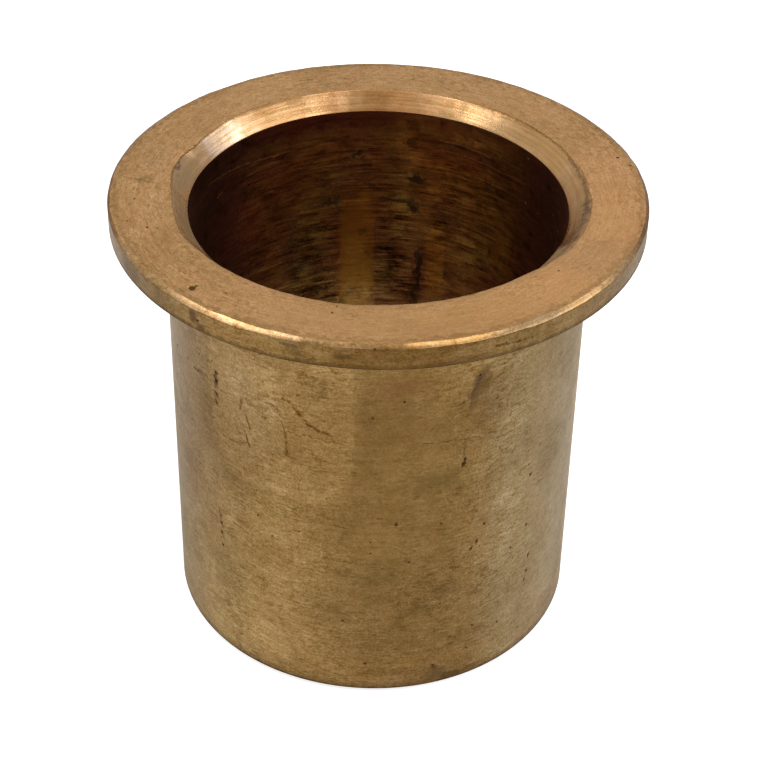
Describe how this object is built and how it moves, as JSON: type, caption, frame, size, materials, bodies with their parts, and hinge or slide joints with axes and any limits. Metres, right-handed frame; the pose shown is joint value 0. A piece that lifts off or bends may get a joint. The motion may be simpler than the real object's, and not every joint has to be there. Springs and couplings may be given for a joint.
{
  "type": "flanged bushing",
  "caption": "Flanged plain bearing bushing turned from one piece of bronze, with a chamfered lead-in at the flange end of its open bore.",
  "frame": {"origin": "centre of the bore in the plane of the sleeve's free end, on which the bushing stands", "axes": "+Z along the bore axis, from the sleeve's free end to the flange; the part is round about Z, so X and Y are free"},
  "size_m": [0.0564, 0.0564, 0.0515],
  "materials": {
    "bronze": "turned bearing bronze, used, with dull brown tarnish on the sleeve and in the bore and bright worn edges"
  },
  "bodies": {
    "root": {"bushing": "bronze"}
  },
  "joints": []
}
